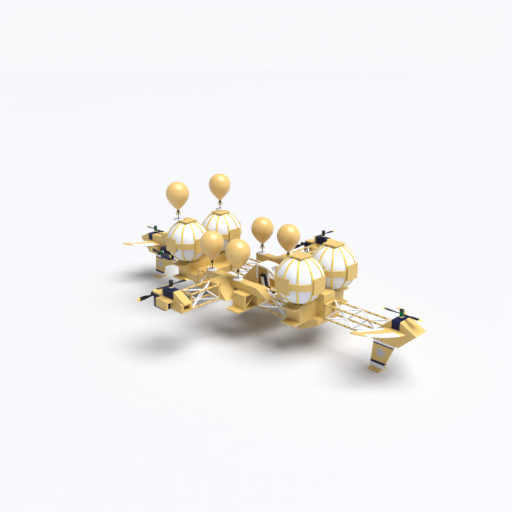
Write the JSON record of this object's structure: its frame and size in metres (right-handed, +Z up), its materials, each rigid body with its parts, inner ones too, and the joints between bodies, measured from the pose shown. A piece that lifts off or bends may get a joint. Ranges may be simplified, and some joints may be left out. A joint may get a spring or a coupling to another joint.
{
  "type": "airship",
  "caption": "Airship built from square modules: ribbed round envelopes on cradles along a cross of open trusses, with propellers at the ends and party balloons on stems.",
  "frame": {"origin": "on the ground, at the middle of the overall box", "axes": "+Z up, -Y forward to the nose, +X to port"},
  "size_m": [15.9, 23.9994, 8.5],
  "materials": {
    "gold": "satin gold-yellow paint",
    "envelope": "white coated envelope fabric",
    "canopy": "white gloss paint",
    "navy": "dark navy gloss paint",
    "propeller": "black gloss paint, yellow tips",
    "balloon": "glossy gold-orange latex",
    "seat": "navy upholstery with white bolsters"
  },
  "bodies": {
    "airframe": {"cage_front_starboard": "gold", "cage_front_port": "gold", "cradle_front": "gold", "fin_front": "gold", "truss_front": "gold", "wing_front_starboard": "gold", "wing_front_port": "gold", "truss_front_starboard": "gold", "truss_front_port": "gold", "cage_rear_starboard": "gold", "cage_rear_port": "gold", "cradle_rear": "gold", "fin_rear": "gold", "truss_rear": "gold", "wing_rear_starboard": "gold", "wing_rear_port": "gold", "truss_rear_starboard": "gold", "truss_rear_port": "gold", "nose": "gold", "tail": "gold", "tub": "gold", "fairing": "gold", "truss_arm_starboard": "gold", "outrigger_starboard": "gold", "shoulder_starboard": "gold", "deck_starboard": "gold", "arm_end_starboard": "gold", "truss_arm_port": "gold", "outrigger_port": "gold", "shoulder_port": "gold", "deck_port": "gold", "arm_end_port": "gold", "envelope_front_starboard": "envelope", "envelope_front_port": "envelope", "envelope_rear_starboard": "envelope", "envelope_rear_port": "envelope", "canopy": "canopy", "engine_nose": "navy", "engine_tail": "navy", "engine_starboard": "navy", "engine_port": "navy", "engine_pusher_starboard": "navy", "engine_pusher_port": "navy", "engine_side": "navy", "balloon_top_starboard": "balloon", "balloon_top_port": "balloon", "balloon_deck_rear_starboard": "balloon", "balloon_deck_rear_port": "balloon", "balloon_deck_front_starboard": "balloon", "balloon_deck_front_port": "balloon", "seat": "seat"},
    "propeller_nose": {"propeller_nose": "propeller"},
    "propeller_tail": {"propeller_tail": "propeller"},
    "propeller_starboard": {"propeller_starboard": "propeller"},
    "propeller_port": {"propeller_port": "propeller"},
    "propeller_pusher_starboard": {"propeller_pusher_starboard": "propeller"},
    "propeller_pusher_port": {"propeller_pusher_port": "propeller"},
    "propeller_side": {"propeller_side": "propeller"}
  },
  "joints": [
    {"name": "propeller_nose_spin", "type": "hinge", "parent": "airframe", "child": "propeller_nose", "pos_m": [0, -10.75, 3.6], "axis": [0, 0, 1], "continuous": true},
    {"name": "propeller_tail_spin", "type": "hinge", "parent": "airframe", "child": "propeller_tail", "pos_m": [0, 10.75, 3.6], "axis": [0, 0, 1], "continuous": true},
    {"name": "propeller_starboard_spin", "type": "hinge", "parent": "airframe", "child": "propeller_starboard", "pos_m": [-6.75, 0, 4.1], "axis": [0, 0, 1], "continuous": true},
    {"name": "propeller_port_spin", "type": "hinge", "parent": "airframe", "child": "propeller_port", "pos_m": [6.75, 0, 4.1], "axis": [0, 0, 1], "continuous": true},
    {"name": "propeller_pusher_starboard_spin", "type": "hinge", "parent": "airframe", "child": "propeller_pusher_starboard", "pos_m": [-6.7, 1.6, 3.1], "axis": [0, 1, 0], "continuous": true},
    {"name": "propeller_pusher_port_spin", "type": "hinge", "parent": "airframe", "child": "propeller_pusher_port", "pos_m": [6.7, 1.6, 3.1], "axis": [0, 1, 0], "continuous": true},
    {"name": "propeller_side_spin", "type": "hinge", "parent": "airframe", "child": "propeller_side", "pos_m": [-1.1, 8.5, 2.7], "axis": [-1, 0, 0], "continuous": true}
  ]
}
